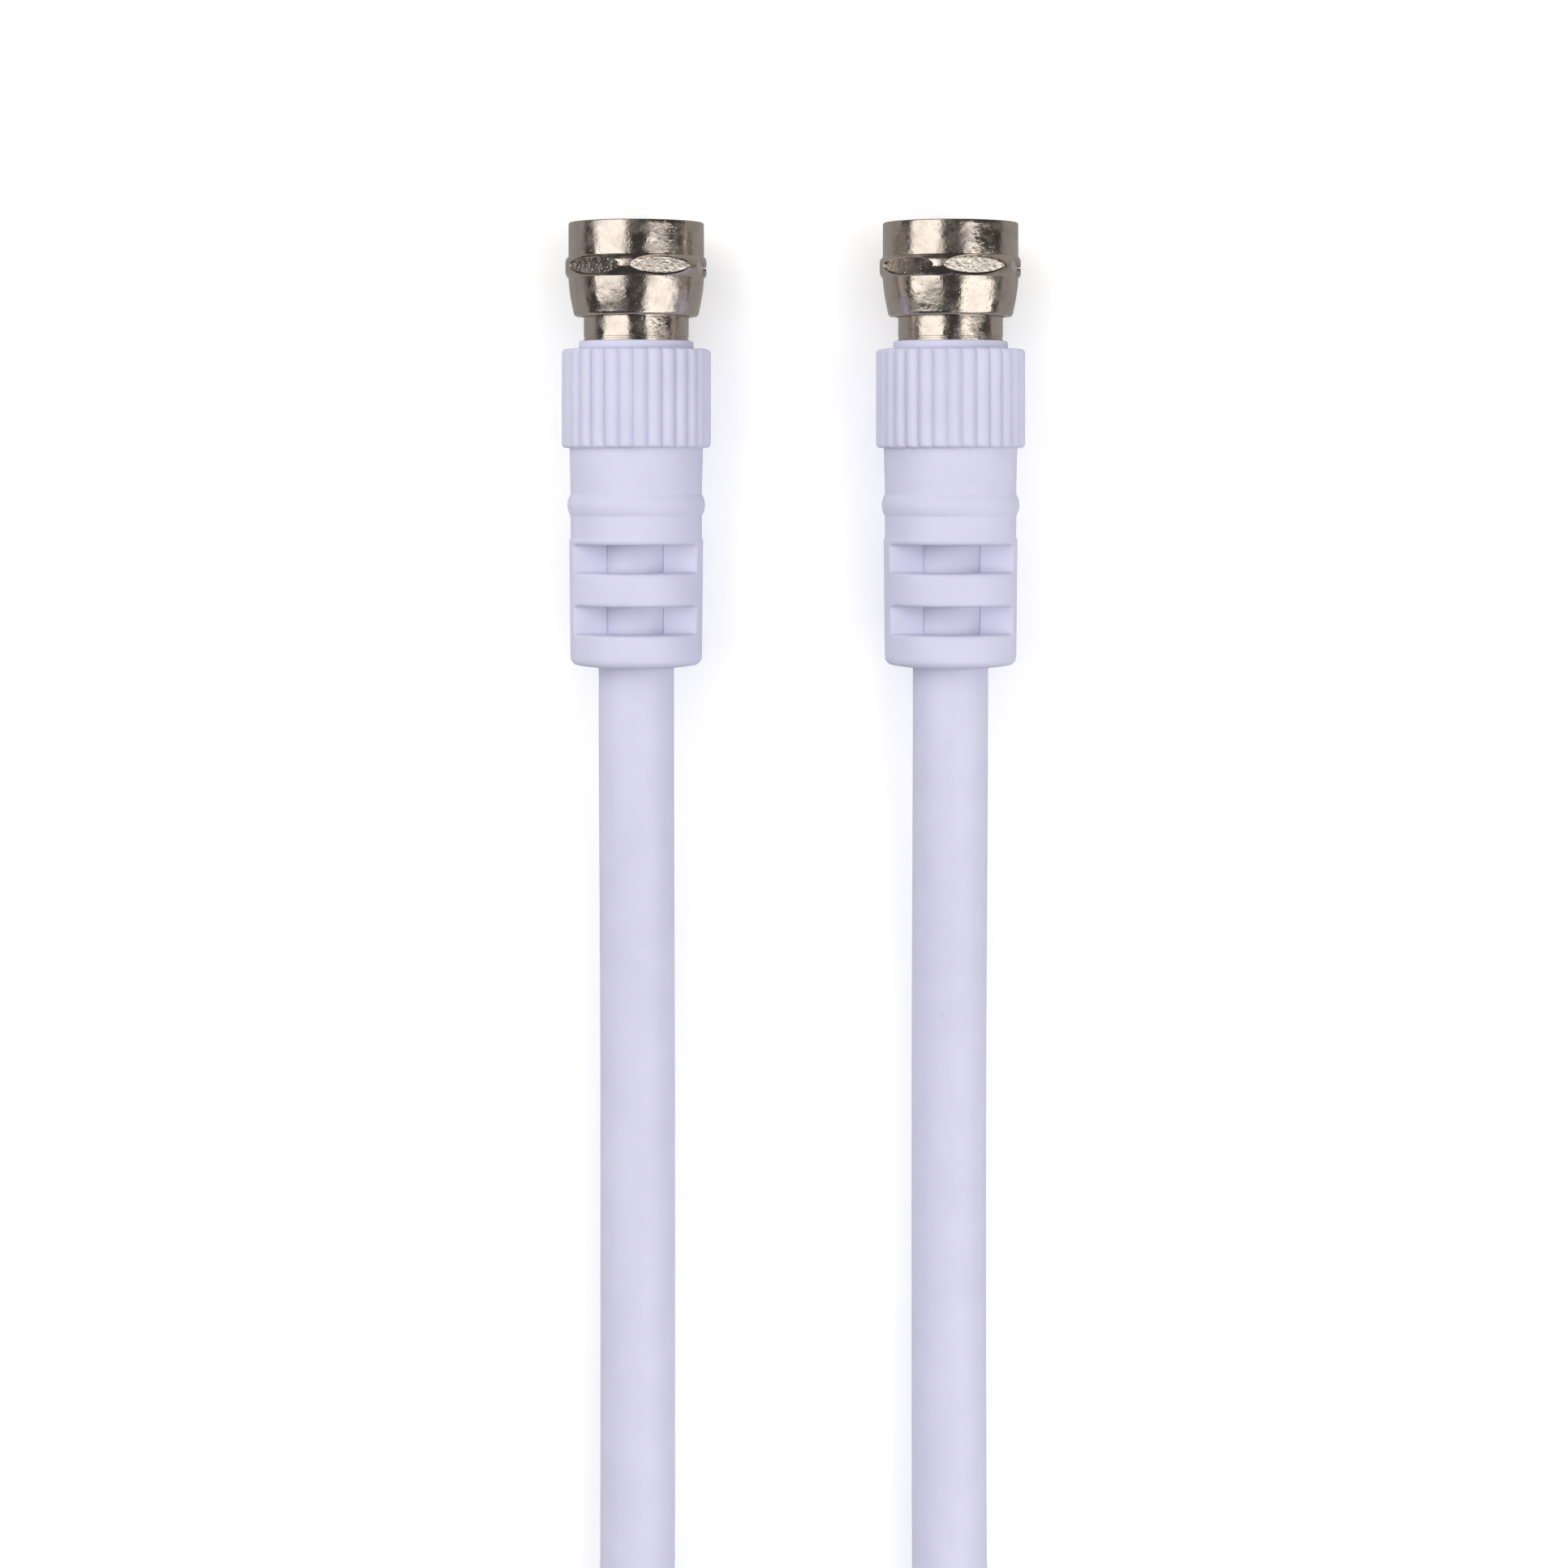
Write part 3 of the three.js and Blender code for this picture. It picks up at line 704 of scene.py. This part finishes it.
def twist_tree():
    tree, bench, given, output = new_tree("twisted_ends", {
        "Length": "Float", "Turns": "Float", "Spacing": "Float", "Ribbon Width": "Float", "Ribbon Thickness": "Float",
    })
    line = bench.node("GeometryNodeCurvePrimitiveLine")
    end = bench.node("ShaderNodeCombineXYZ")
    bench.feed(end.inputs["Y"], given["Length"])
    bench.feed(line.inputs["End"], end.outputs[0])
    fine = bench.node("GeometryNodeResampleCurve")
    bench.feed(fine.inputs["Curve"], line.outputs[0])
    fine.inputs["Count"].default_value = 60
    share = bench.node("GeometryNodeSplineParameter").outputs["Factor"]
    turn = bench.sum("MULTIPLY", bench.sum("MULTIPLY", share, given["Turns"]), 2 * math.pi)
    offset = bench.node("ShaderNodeCombineXYZ")
    bench.feed(offset.inputs["X"], bench.sum("MULTIPLY", bench.sum("COSINE", turn), given["Spacing"]))
    bench.feed(offset.inputs["Z"], bench.sum("MULTIPLY", bench.sum("SINE", turn), given["Spacing"]))
    moved = bench.node("GeometryNodeSetPosition")
    bench.feed(moved.inputs["Geometry"], fine.outputs[0])
    bench.feed(moved.inputs["Offset"], offset.outputs[0])
    tilted = bench.node("GeometryNodeSetCurveTilt")
    bench.feed(tilted.inputs["Curve"], moved.outputs[0])
    bench.feed(tilted.inputs["Tilt"], turn)
    profile = bench.node("GeometryNodeCurvePrimitiveQuadrilateral")
    bench.feed(profile.inputs["Width"], given["Ribbon Thickness"])
    bench.feed(profile.inputs["Height"], given["Ribbon Width"])
    strip = bench.node("GeometryNodeCurveToMesh")
    bench.feed(strip.inputs["Curve"], tilted.outputs[0])
    bench.feed(strip.inputs["Profile Curve"], profile.outputs[0])
    strip.inputs["Fill Caps"].default_value = True
    other = bench.node("GeometryNodeTransform")
    bench.feed(other.inputs["Geometry"], strip.outputs[0])
    other.inputs["Rotation"].default_value = (0, math.pi, 0)
    both = bench.node("GeometryNodeJoinGeometry")
    bench.feed(both.inputs[0], strip.outputs[0])
    bench.feed(both.inputs[0], other.outputs[0])
    close_tree(bench, both.outputs[0], tie_white, output)
    return tree


twist = twist_tree()
print("tree", twist.name, "takes", [item.name for item in twist.interface.items_tree if item.in_out == "INPUT"])

# %% [markdown]
# Each tie's twisted ends start on the ribbon at the outside of the coil, point along it, and lie close to the
# cable. The tie is then one piece: its ribbon and its ends.

# %% Ties in place
def empty_piece(name):
    made = bpy.data.objects.new(name, bpy.data.meshes.new(name))
    bpy.context.scene.collection.objects.link(made)
    return made


def joined(pieces, name):
    """Several bench pieces as one, under a new name."""
    shape = bmesh.new()
    for piece in pieces:
        shape.from_mesh(piece.data)
        bpy.data.objects.remove(piece)
    made = empty_piece(name)
    shape.to_mesh(made.data)
    shape.free()
    return made


def tie(name, side, node):
    band, outer = ribbon(name + "_band", side)
    ends = empty_piece(name + "_ends")
    run_tree(ends, twist, length=9.0, turns=1.75, spacing=0.30, ribbon_width=1.7, ribbon_thickness=0.45)
    top = outer[np.argmax(outer[:, 1])]
    start = Matrix.Translation((0, top[0], top[1] + 0.75)) @ Matrix.Rotation(math.radians(-90), 4, "Z")
    ends.data.transform(start @ Matrix.Rotation(math.radians(-8), 4, "X"))
    made = joined([band, ends], name)
    made.data.transform(Matrix.Scale(MM, 4))
    made.data.shade_smooth()
    made.data.set_sharp_from_angle(angle=math.radians(40))
    made.data.materials.clear()
    made.data.materials.append(tie_white)
    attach(made, "lead")
    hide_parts(node)
    return made


ties = [tie("twist_tie_near", 1, "coil_tie_near"), tie("twist_tie_far", -1, "coil_tie_far")]

# %% [markdown]
# ## The boot's outline
# The boot is one moulding: a strain relief with two windows that let it bend, a barrel with a bead, a grip with
# thirty ribs and a short collar. A chain of Booleans could make it, but its edges would all be knife-sharp. Here
# its skin is written as rows along the axis. Each row has a radius, and beside the windows also two more numbers:
# how much the ring's edge is rounded off, and how far from the middle the flat web lies that cuts the circle off.

# %% Boot rows
RELIEF_REAR, RELIEF_FRONT = 5.66, 5.76
WINDOWS = ((2.95, 5.35), (8.2, 10.6))
WEB = 2.2
OPEN = 99.0
RING_ROUND = 0.34
FILLET = 0.22
GRIP = (18.9, 27.4)
GRIP_RADIUS = 6.43
GRIP_ROUND = 0.36
BOOT_LENGTH = 28.1
COLLAR_RADIUS = 4.94


def relief_radius(along):
    return RELIEF_REAR + (RELIEF_FRONT - RELIEF_REAR) * along / WINDOWS[1][1]


def window_rows(start, end):
    """Rows over one window: rounded ring edge, wall, fillet, flat web, and the same again backwards."""
    rows = []
    quarter_turn = [math.radians(90 * i / 5) for i in range(6)]
    for a in quarter_turn:
        rows.append((start - RING_ROUND * (1 - math.sin(a)), RING_ROUND * (1 - math.cos(a)), OPEN))
    for a in quarter_turn:
        rows.append((start + FILLET * (1 - math.cos(a)), RING_ROUND, WEB + FILLET * (1 - math.sin(a))))
    flipped = [(start + end - along, edge, web) for along, edge, web in reversed(rows)]
    middle = [(start + (end - start) * share, RING_ROUND, WEB) for share in (0.3, 0.5, 0.7)]
    return [(along, relief_radius(along), edge, web) for along, edge, web in rows + middle + flipped]


def boot_rows():
    """(place along the axis, radius, rounding of the ring's edge, distance of the flat web)."""
    domed_end = [(0, 0), (0, 3.0), (0.04, 3.8), (0.12, 4.5)]
    rows = [(along, radius, 0, OPEN) for along, radius in domed_end]
    rows += [(along, radius, 0, OPEN) for along, radius in quarter((0.9, RELIEF_REAR - 0.7), 0.7, -90, 7)]
    rows += [(along, relief_radius(along), 0, OPEN) for along in (1.3, 1.7, 2.2)]
    rows += window_rows(*WINDOWS[0])
    rows += [(along, relief_radius(along), 0, OPEN) for along in (6.2, 6.8, 7.4)]
    rows += window_rows(*WINDOWS[1])
    barrel = [(10.95, 5.735), (11.05, 5.70), (11.2, 5.668), (11.4, 5.66), (12.0, 5.66), (12.6, 5.66), (12.98, 5.66)]
    bead = [(13.05 + 1.85 * i / 14, 5.66 + 0.27 * math.sin(math.pi * i / 14) ** 0.8) for i in range(15)]
    upper = [(15.0, 5.66), (15.6, 5.67), (16.8, 5.70), (17.9, 5.73), (18.7, 5.75), (18.84, 5.76)]
    grip = [(GRIP[0], 5.80)]
    grip += quarter((GRIP[0] + GRIP_ROUND, GRIP_RADIUS - GRIP_ROUND), GRIP_ROUND, -90, 7)
    grip += [(along, GRIP_RADIUS) for along in np.linspace(GRIP[0] + 0.8, GRIP[1] - 0.8, 14)]
    grip += quarter((GRIP[1] - GRIP_ROUND, GRIP_RADIUS - GRIP_ROUND), GRIP_ROUND, 0, 7)
    grip += [(GRIP[1], 5.3), (GRIP[1] + 0.02, 5.0), (GRIP[1] + 0.08, COLLAR_RADIUS)]
    collar = quarter((BOOT_LENGTH - 0.2, COLLAR_RADIUS - 0.2), 0.2, 0, 4) + [(BOOT_LENGTH, 3.6), (BOOT_LENGTH, 0)]
    rows += [(along, radius, 0, OPEN) for along, radius in barrel + bead + upper + grip + collar]
    return rows


outline = boot_rows()
print("boot rows:", len(outline), "longest radius", max(row[1] for row in outline))

# %% [markdown]
# ## Ribs by a rule
# The grip's ribs are the same shape thirty times, so Geometry Nodes push them in by a rule. The angle round the
# axis is counted in ribs, the distance from the nearest crest is raised to a power, and the skin is pushed inwards
# by that much. The power gives broad round crests and sharp valleys. The columns of the skin are set so that one
# lies exactly in every valley.

# %% Geometry Nodes: ribs
RIB_COUNT = 30
RIB_PHASE = math.radians(3)
COLUMNS_PER_RIB = 12


def from_the_axis(bench):
    """A point's x, its place along the axis, its z and its distance from the axis."""
    place = bench.node("ShaderNodeSeparateXYZ")
    bench.feed(place.inputs[0], bench.node("GeometryNodeInputPosition").outputs[0])
    x, along, z = place.outputs
    radius = bench.sum("SQRT", bench.sum("ADD", bench.sum("MULTIPLY", x, x), bench.sum("MULTIPLY", z, z)))
    return x, along, z, radius


def moved_outwards(bench, geometry, x, z, share):
    """The geometry with each point moved away from the axis by a share of its distance."""
    offset = bench.node("ShaderNodeCombineXYZ")
    bench.feed(offset.inputs["X"], bench.sum("MULTIPLY", x, share))
    bench.feed(offset.inputs["Z"], bench.sum("MULTIPLY", z, share))
    moved = bench.node("GeometryNodeSetPosition")
    bench.feed(moved.inputs["Geometry"], geometry)
    bench.feed(moved.inputs["Offset"], offset.outputs[0])
    return moved.outputs[0]


def rib_tree():
    tree, bench, given, output = new_tree("moulded_ribs", {
        "Rib Count": "Float", "Rib Phase": "Float", "Rib Depth": "Float", "Crest Roundness": "Float",
        "Ribs Start": "Float", "Ribs End": "Float", "Least Radius": "Float",
    })
    x, along, z, radius = from_the_axis(bench)
    angle = bench.sum("SUBTRACT", bench.sum("ARCTAN2", x, z), given["Rib Phase"])
    count = bench.sum("MULTIPLY", angle, bench.sum("DIVIDE", given["Rib Count"], 2 * math.pi))
    share = bench.sum("ABSOLUTE", bench.sum("SUBTRACT", count, bench.sum("ROUND", count)))
    dent = bench.sum("POWER", bench.sum("MULTIPLY", share, 2.0), given["Crest Roundness"])
    dent = bench.sum("MULTIPLY", dent, given["Rib Depth"])
    inside = bench.sum("MULTIPLY", bench.sum("GREATER_THAN", along, bench.sum("SUBTRACT", given["Ribs Start"], 0.01)),
                       bench.sum("LESS_THAN", along, bench.sum("ADD", given["Ribs End"], 0.01)))
    wanted = bench.sum("MAXIMUM", bench.sum("SUBTRACT", radius, dent), given["Least Radius"])
    change = bench.sum("MINIMUM", bench.sum("SUBTRACT", wanted, radius), 0.0)
    share_out = bench.sum("DIVIDE", bench.sum("MULTIPLY", change, inside), bench.sum("MAXIMUM", radius, 0.001))
    close_tree(bench, moved_outwards(bench, given["Geometry"], x, z, share_out), boot_white, output)
    return tree


ribs = rib_tree()
print("tree", ribs.name, "makes", RIB_COUNT, "ribs")

# %% [markdown]
# ## The boots
# Now the rows become points. A point beside a window keeps its place sideways and is brought down onto the web,
# with a soft corner where web and rail meet. Then the ribs are pushed in, and the cable's hole is bored through the
# whole boot, a hair wider than the cable, so that the cable shows in both windows.

# %% Boots
def softly_least(value, limit, soft):
    """The smaller of two numbers, with a rounded change from one to the other."""
    near = np.maximum(soft - np.abs(value - limit), 0) / soft
    return np.minimum(value, limit) - near * near * soft / 4


def boot(letter):
    first = RIB_PHASE + ROLL[letter]
    columns = RIB_COUNT * COLUMNS_PER_RIB
    angles = first + np.arange(columns) * 2 * math.pi / columns
    rows = []
    for along, radius, edge, web in boot_rows():
        share = np.clip((np.abs(radius * np.cos(angles)) - WEB) / 0.8, 0, 1)
        row = ring_of(along, radius - edge * share * share * (3 - 2 * share), angles)
        if web < OPEN:
            row[:, 2] = np.sign(row[:, 2]) * softly_least(np.abs(row[:, 2]), web, 0.3)
        rows.append(row)
    made = skin("moulded_boot_" + letter, rows)
    run_tree(made, ribs, rib_count=float(RIB_COUNT), rib_phase=first, rib_depth=0.36, crest_roundness=2.2,
             ribs_start=GRIP[0], ribs_end=GRIP[1], least_radius=5.78)
    hole = turned("hole", [(-1, 0), (-1, 3.28), (BOOT_LENGTH + 1, 3.28), (BOOT_LENGTH + 1, 0)], 96, wrap=False)
    hole.data.materials.append(boot_white)
    cut_away(made, hole)
    put_in_place(made, letter, "lead", ["boot_" + letter])
    return made


boots = [boot(letter) for letter in PLUGS]

# %% [markdown]
# ## The post, the insulation and the centre wire
# The post is a turned tube: its tail is inside the boot, its neck shows between boot and nut, and a flange inside
# the nut keeps the nut on. The cable's white foam insulation fills it and ends flush with the flange, and the bare
# centre wire stands out of the foam, almost as far as the nut. All three are lathe work with small edge rounds.

# %% Post, insulation, wire
NECK, STEM, TAIL = 4.52, 3.4, 3.25
INNER_REAR = 12.6
POST_BORE, FOAM_RADIUS, WIRE_RADIUS = 2.5, 2.48, 0.5
FLANGE = (32.9, 33.7)
PIN_TIP = 37.7


def post(letter):
    outline = [
        (INNER_REAR, POST_BORE), (INNER_REAR, TAIL), (28.08, TAIL), (28.08, NECK), (28.25, NECK), (28.3, NECK - 0.05),
        (28.42, NECK - 0.05), (28.47, NECK), (29.9, NECK), *quarter((30.8, NECK - 0.15), 0.15, 0, 3), (31.0, STEM),
        (FLANGE[0], STEM), (FLANGE[0], 3.95), (FLANGE[0] + 0.1, 4.05),
        *quarter((FLANGE[1] - 0.2, 3.85), 0.2, 0, 3), (FLANGE[1], 2.6), (FLANGE[1] - 0.1, POST_BORE),
    ]
    made = turned("crimp_post_" + letter, outline, 160)
    made.data.materials.append(nickel)
    put_in_place(made, letter, "lead", ["ferrule_" + letter])
    return made


def foam(letter):
    outline = [
        (INNER_REAR, 0.52), (INNER_REAR, FOAM_RADIUS), (FLANGE[1] - 0.15, FOAM_RADIUS), (FLANGE[1], 2.36),
        (FLANGE[1] + 0.02, 0.9), (FLANGE[1] - 0.05, 0.52),
    ]
    made = turned("foam_insulation_" + letter, outline, 64)
    made.data.materials.append(foam_white)
    put_in_place(made, letter, "lead", ["insulator_" + letter])
    return made


def wire(letter):
    outline = [
        (INNER_REAR, 0), (INNER_REAR, WIRE_RADIUS), (PIN_TIP - 0.4, WIRE_RADIUS), (PIN_TIP - 0.2, 0.46),
        (PIN_TIP - 0.06, 0.36), (PIN_TIP, 0.2), (PIN_TIP, 0),
    ]
    made = turned("centre_wire_" + letter, outline, 32, wrap=False)
    made.data.materials.append(wire_metal)
    put_in_place(made, letter, "lead", ["centre_pin_" + letter])
    return made


inner_pieces = [make(letter) for letter in PLUGS for make in (post, foam, wire)]

# %% [markdown]
# ## The nut's thread by a rule
# The nut screws onto a 3/8-32 thread: 32 turns to the inch, so a pitch of 0.794 mm. Inside the bore the skin is
# pushed inwards by a rule that depends on both the angle and the place along the axis. Together they make a helix,
# which is all that a thread is. It fades out at both ends, as a tapped thread does.

# %% Geometry Nodes: thread
THREAD_PITCH = 25.4 / 32
THREAD_ROOT, THREAD_CREST = 4.78, 4.36
THREAD = (32.85, 37.7)


def thread_tree():
    tree, bench, given, output = new_tree("nut_thread", {
        "Pitch": "Float", "Depth": "Float", "Bore Radius": "Float", "Thread Start": "Float", "Thread End": "Float",
    })
    x, along, z, radius = from_the_axis(bench)
    turn = bench.sum("DIVIDE", bench.sum("ARCTAN2", x, z), 2 * math.pi)
    phase = bench.sum("ADD", bench.sum("DIVIDE", along, given["Pitch"]), turn)
    wave = bench.sum("COSINE", bench.sum("MULTIPLY", phase, 2 * math.pi))
    wave = bench.sum("ADD", bench.sum("MULTIPLY", wave, 0.5), 0.5)
    start, end = given["Thread Start"], given["Thread End"]
    fade = bench.span(along, start, bench.sum("ADD", start, given["Pitch"]), 0.0, 1.0)
    stop = bench.span(along, bench.sum("SUBTRACT", end, given["Pitch"]), end, 1.0, 0.0)
    near = bench.sum("LESS_THAN", bench.sum("ABSOLUTE", bench.sum("SUBTRACT", radius, given["Bore Radius"])), 0.01)
    push = bench.sum("MULTIPLY", bench.sum("MULTIPLY", wave, given["Depth"]), bench.sum("MULTIPLY", fade, stop))
    share_out = bench.sum("DIVIDE", bench.sum("MULTIPLY", push, bench.sum("MULTIPLY", near, -1.0)), radius)
    close_tree(bench, moved_outwards(bench, given["Geometry"], x, z, share_out), nickel, output)
    return tree


thread = thread_tree()
print("tree", thread.name, "pitch", round(THREAD_PITCH, 3), "mm")

# %% [markdown]
# ## The nut's six flats
# A spanner grips the nut on six flats, 11.1 mm across. They aren't milled over the whole nut but only into a raised
# ridge, so each one has the outline of a lens, with a steep rim round it. One cutter has that shape: a stack of
# lens outlines that widen outwards. Geometry Nodes set six of them round the axis, and a Boolean takes them out.

# %% Geometry Nodes: six cutters
FLAT_DISTANCE = 5.55
RIDGE_ALONG = 34.44
FIRST_FLAT = math.radians(20.5)
LENS_POINTS = 72


def lens(half_width, half_height, height):
    """One lens outline at a height above the axis."""
    turn = np.arange(LENS_POINTS) * 2 * math.pi / LENS_POINTS
    across = half_width * np.sign(np.cos(turn)) * np.abs(np.cos(turn)) ** 0.95
    along = half_height * np.sign(np.sin(turn)) * np.abs(np.sin(turn)) ** 1.15
    return np.stack([across, along + RIDGE_ALONG, np.full(LENS_POINTS, height)], 1)


def flat_cutter():
    levels = [
        (2.70, 0.66, FLAT_DISTANCE), (2.73, 0.69, FLAT_DISTANCE + 0.04), (2.78, 0.76, FLAT_DISTANCE + 0.16),
        (2.86, 0.84, FLAT_DISTANCE + 0.32), (3.1, 1.05, FLAT_DISTANCE + 0.80), (3.4, 1.3, FLAT_DISTANCE + 1.4),
    ]
    rows = [lens(*level) for level in levels]
    middle = np.array([0, RIDGE_ALONG, 0])
    floor_row = np.tile(middle + (0, 0, levels[0][2]), (LENS_POINTS, 1))
    top_row = np.tile(middle + (0, 0, levels[-1][2]), (LENS_POINTS, 1))
    return skin("flat_cutter", [floor_row, *rows, top_row])


def six_tree():
    tree, bench, given, output = new_tree("six_round", {"Count": "Int", "First Angle": "Float"})
    points = bench.node("GeometryNodeMeshLine")
    bench.feed(points.inputs["Count"], given["Count"])
    points.inputs["Offset"].default_value = (0, 0, 0)
    placed = bench.node("GeometryNodeInstanceOnPoints")
    bench.feed(placed.inputs["Points"], points.outputs[0])
    bench.feed(placed.inputs["Instance"], given["Geometry"])
    step = bench.sum("DIVIDE", 2 * math.pi, given["Count"])
    angle = bench.sum("ADD", bench.sum("MULTIPLY", bench.node("GeometryNodeInputIndex").outputs[0], step),
                      given["First Angle"])
    turn = bench.node("ShaderNodeCombineXYZ")
    bench.feed(turn.inputs["Y"], angle)
    bench.feed(placed.inputs["Rotation"], turn.outputs[0])
    close_tree(bench, placed.outputs[0], facet_nickel, output)
    return tree


six = six_tree()
print("tree", six.name, "sets the flats", 2 * FLAT_DISTANCE, "mm apart")

# %% [markdown]
# ## The coupling nuts
# The outside is a short cone, the ridge and a straight collar. The outline goes round the whole section of the nut
# and back through its bore, so the nut is a closed ring. The bore has a row of points every fifteenth of a
# millimetre, because the thread needs them. The nut turns with its own body, so it rides on that.

# %% Nuts
NUT = (30.2, 38.3)
NUT_REAR, NUT_COLLAR, RIDGE_RADIUS = 5.4, 5.84, 6.33
LEVEL = 0.02


def nut_outline():
    cone_end = NUT[0] + 3.3
    rows = [(NUT[0], 4.66), (NUT[0], 4.9)]
    rows += quarter((NUT[0] + 0.35, NUT_REAR - 0.35), 0.35, -90, 6)
    for share in np.linspace(0.08, 1, 12):
        swell = (NUT_COLLAR - NUT_REAR) * (1 - (1 - share) ** 1.5)
        rows.append((NUT[0] + 0.35 + (cone_end - NUT[0] - 0.35) * share, NUT_REAR + swell))
    for i in range(1, 17):
        share = i / 17
        rise = (RIDGE_RADIUS - NUT_COLLAR) * math.sin(math.pi * share) ** 0.8
        rows.append((RIDGE_ALONG - 0.91 + 1.82 * share, NUT_COLLAR + rise))
    rows += [(35.36, NUT_COLLAR)] + [(along, NUT_COLLAR) for along in (35.9, 36.6, 37.3, 37.9)]
    rows += quarter((NUT[1] - 0.14, NUT_COLLAR - 0.14), 0.14, 0, 4)
    rows += [(NUT[1], 5.3), (NUT[1], 4.95), (NUT[1] - 0.03, 4.9)]
    rows += [(along, THREAD_ROOT) for along in np.arange(THREAD[1] + 0.3, 32.62, -0.066)]
    rows += [(32.6, THREAD_ROOT), (32.6, 3.7), (31.3, 3.7), (31.3, 4.66)]
    return rows


def nut(letter):
    made = turned("coupling_nut_piece_" + letter, nut_outline(), 192)
    run_tree(made, thread, pitch=THREAD_PITCH, depth=THREAD_ROOT - THREAD_CREST, bore_radius=THREAD_ROOT,
             thread_start=THREAD[0], thread_end=THREAD[1])
    cutters = flat_cutter()
    run_tree(cutters, six, count=6, first_angle=FIRST_FLAT + ROLL[letter])
    cut_away(made, cutters)
    put_in_place(made, letter, "coupling_nut_" + letter, ["nut_" + letter], crease=28)
    frosted = made.data.materials.find(facet_nickel.name)
    plating = made.data.materials.find(nickel.name)
    for face in made.data.polygons:
        if face.material_index == frosted and abs(face.normal.y) < LEVEL:
            face.use_smooth = False
        elif face.material_index == frosted:
            face.material_index = plating
    print("finishes on it:", [m.name for m in made.data.materials])
    return made


nuts = [nut(letter) for letter in PLUGS]

# %% [markdown]
# ## The pieces
# The script ends by counting the pieces on the two plugs.

# %% Count the pieces
print("pieces on the two plugs:", len(boots) + len(inner_pieces) + len(nuts))
